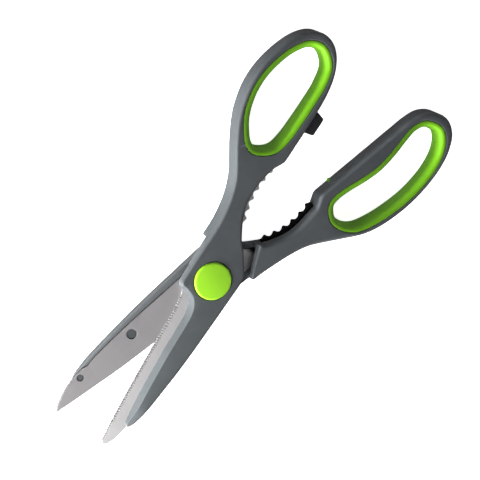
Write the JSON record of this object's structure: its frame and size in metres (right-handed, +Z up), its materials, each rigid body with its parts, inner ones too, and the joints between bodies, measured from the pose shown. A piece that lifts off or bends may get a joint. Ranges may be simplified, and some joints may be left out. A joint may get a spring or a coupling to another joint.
{
  "type": "poultry shears",
  "caption": "Kitchen and poultry shears with overmoulded handles, soft lined finger loops, a serrated jaw and one capped pivot.",
  "frame": {"origin": "on the pivot axis, in the plane that the closed flat back of the shears lies on", "axes": "+Y from the pivot towards the finger loops, midway between the two halves at rest, +Z up out of the front pivot cap, +X towards the larger loop"},
  "size_m": [0.1035, 0.2252, 0.0136],
  "materials": {
    "blade_steel": "fine brushed stainless steel",
    "handle_plastic": "dark grey satin polypropylene",
    "grip_rubber": "lime green soft thermoplastic rubber",
    "cap_plastic": "lime green satin plastic",
    "pivot_steel": "turned stainless steel",
    "stop_rubber": "black rubber"
  },
  "bodies": {
    "front_half": {"front_blade": "blade_steel", "front_handle": "handle_plastic", "front_loop_grip": "grip_rubber", "closing_stop": "stop_rubber", "front_pivot_cap": "cap_plastic", "spring_washer": "pivot_steel", "pivot_nut": "pivot_steel", "pivot_bolt": "pivot_steel"},
    "rear_half": {"rear_blade": "blade_steel", "rear_handle": "handle_plastic", "rear_loop_grip": "grip_rubber", "rear_pivot_cap": "cap_plastic", "head_washer": "pivot_steel"}
  },
  "joints": [
    {"name": "pivot_hinge", "type": "hinge", "parent": "front_half", "child": "rear_half", "pos_m": [0, 0, 0.0062], "axis": [0, 0, 1], "range_deg": [-74, 17]}
  ]
}
